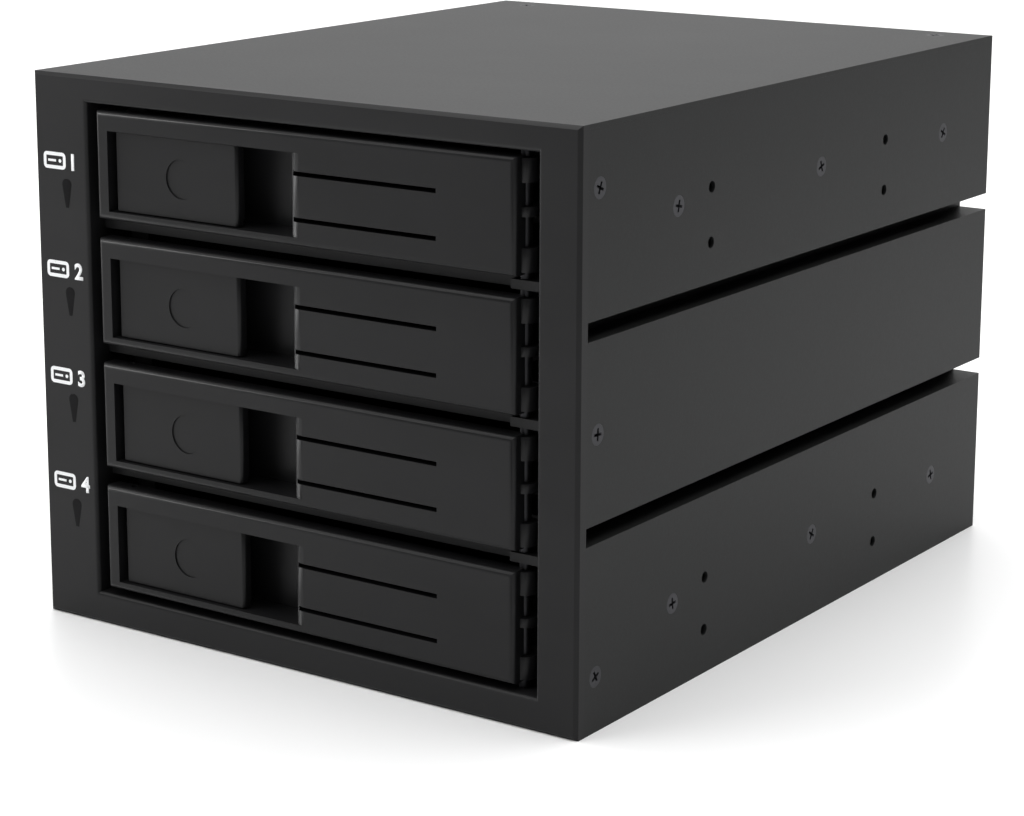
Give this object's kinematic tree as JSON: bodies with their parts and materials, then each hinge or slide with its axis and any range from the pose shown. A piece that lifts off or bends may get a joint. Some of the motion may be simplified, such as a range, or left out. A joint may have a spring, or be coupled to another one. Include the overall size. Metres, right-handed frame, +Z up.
{
  "type": "hot swap drive cage",
  "caption": "Sheet-steel cage for the space of 5.25 inch bays, with hinged latching doors over trayless 3.5 inch drive bays, ejector bars, a backplane and a rear fan.",
  "frame": {"origin": "bottom centre of the whole cage, on the plane that it stands on", "axes": "+X to the right as seen from the front, +Y from the bezel to the rear, +Z up"},
  "size_m": [0.146, 0.2016, 0.126],
  "materials": {
    "painted_sheet_steel": "fine black powder coat, semi-gloss",
    "black_abs": "moulded, fine texture",
    "door_abs": "moulded, satin",
    "fan_plastic": "moulded, satin",
    "zinc_steel": "zinc plated",
    "black_steel": "black lacquer",
    "black_screws": "black zinc",
    "circuit_board": "green solder mask",
    "socket_plastic": "moulded",
    "white_nylon": "moulded",
    "light_body": "clear resin",
    "smoked_acrylic": "polished",
    "spring_steel": "rolled"
  },
  "bodies": {
    "cage": {"chassis_shell": "painted_sheet_steel", "top_cover": "painted_sheet_steel", "front_bezel": "black_abs", "hinge_rod": "black_steel", "drive_guide_left_lower": "black_abs", "drive_guide_left_upper": "black_abs", "drive_guide_right_lower": "black_abs", "drive_guide_right_upper": "black_abs", "guide_spacers": "zinc_steel", "guide_screws": "black_screws", "bezel_screws": "black_screws", "cover_screws": "black_screws", "board_screws": "zinc_steel", "led_board_screws": "zinc_steel", "fan_screws": "black_screws", "rear_panel": "painted_sheet_steel", "backplane_board": "circuit_board", "drive_sockets": "socket_plastic", "data_ports": "socket_plastic", "power_sockets": "white_nylon", "led_board": "circuit_board", "indicator_lights": "light_body", "light_pipes": "smoked_acrylic", "fan_frame": "fan_plastic", "fan_guard": "black_steel"},
    "door_1": {"door_1": "door_abs", "latch_pin_1": "zinc_steel", "latch_spring_1": "spring_steel"},
    "latch_1": {"latch_lever_1": "door_abs"},
    "ejector_1": {"ejector_1": "zinc_steel"},
    "door_2": {"door_2": "door_abs", "latch_pin_2": "zinc_steel", "latch_spring_2": "spring_steel"},
    "latch_2": {"latch_lever_2": "door_abs"},
    "ejector_2": {"ejector_2": "zinc_steel"},
    "door_3": {"door_3": "door_abs", "latch_pin_3": "zinc_steel", "latch_spring_3": "spring_steel"},
    "latch_3": {"latch_lever_3": "door_abs"},
    "ejector_3": {"ejector_3": "zinc_steel"},
    "door_4": {"door_4": "door_abs", "latch_pin_4": "zinc_steel", "latch_spring_4": "spring_steel"},
    "latch_4": {"latch_lever_4": "door_abs"},
    "ejector_4": {"ejector_4": "zinc_steel"},
    "rotor": {"fan_rotor": "fan_plastic"}
  },
  "joints": [
    {"name": "door_1_hinge", "type": "hinge", "parent": "cage", "child": "door_1", "pos_m": [0.057, -0.0958, 0.1065], "axis": [0, 0, 1], "range_deg": [0, 90]},
    {"name": "latch_1_pull", "type": "hinge", "parent": "door_1", "child": "latch_1", "pos_m": [-0.0485, -0.0976, 0.1065], "axis": [0, 0, -1], "range_deg": [0, 25], "stiffness_Nm_per_rad": 0.02, "springref_deg": -17.19, "deforming": ["latch_spring_1"]},
    {"name": "ejector_1_slide", "type": "slide", "parent": "cage", "child": "ejector_1", "axis": [0, -1, 0], "range_m": [0, 0.00848]},
    {"name": "door_2_hinge", "type": "hinge", "parent": "cage", "child": "door_2", "pos_m": [0.057, -0.0958, 0.078], "axis": [0, 0, 1], "range_deg": [0, 90]},
    {"name": "latch_2_pull", "type": "hinge", "parent": "door_2", "child": "latch_2", "pos_m": [-0.0485, -0.0976, 0.078], "axis": [0, 0, -1], "range_deg": [0, 25], "stiffness_Nm_per_rad": 0.02, "springref_deg": -17.19, "deforming": ["latch_spring_2"]},
    {"name": "ejector_2_slide", "type": "slide", "parent": "cage", "child": "ejector_2", "axis": [0, -1, 0], "range_m": [0, 0.00848]},
    {"name": "door_3_hinge", "type": "hinge", "parent": "cage", "child": "door_3", "pos_m": [0.057, -0.0958, 0.0495], "axis": [0, 0, 1], "range_deg": [0, 90]},
    {"name": "latch_3_pull", "type": "hinge", "parent": "door_3", "child": "latch_3", "pos_m": [-0.0485, -0.0976, 0.0495], "axis": [0, 0, -1], "range_deg": [0, 25], "stiffness_Nm_per_rad": 0.02, "springref_deg": -17.19, "deforming": ["latch_spring_3"]},
    {"name": "ejector_3_slide", "type": "slide", "parent": "cage", "child": "ejector_3", "axis": [0, -1, 0], "range_m": [0, 0.00848]},
    {"name": "door_4_hinge", "type": "hinge", "parent": "cage", "child": "door_4", "pos_m": [0.057, -0.0958, 0.021], "axis": [0, 0, 1], "range_deg": [0, 90]},
    {"name": "latch_4_pull", "type": "hinge", "parent": "door_4", "child": "latch_4", "pos_m": [-0.0485, -0.0976, 0.021], "axis": [0, 0, -1], "range_deg": [0, 25], "stiffness_Nm_per_rad": 0.02, "springref_deg": -17.19, "deforming": ["latch_spring_4"]},
    {"name": "ejector_4_slide", "type": "slide", "parent": "cage", "child": "ejector_4", "axis": [0, -1, 0], "range_m": [0, 0.00848]},
    {"name": "fan_spin", "type": "hinge", "parent": "cage", "child": "rotor", "pos_m": [0.018, 0.0862, 0.063], "axis": [0, 1, 0], "continuous": true}
  ],
  "couplings": [
    {"joint": "ejector_1_slide", "follows": "door_1_hinge", "m_per_rad": 0.0054018},
    {"joint": "ejector_2_slide", "follows": "door_2_hinge", "m_per_rad": 0.0054018},
    {"joint": "ejector_3_slide", "follows": "door_3_hinge", "m_per_rad": 0.0054018},
    {"joint": "ejector_4_slide", "follows": "door_4_hinge", "m_per_rad": 0.0054018}
  ]
}
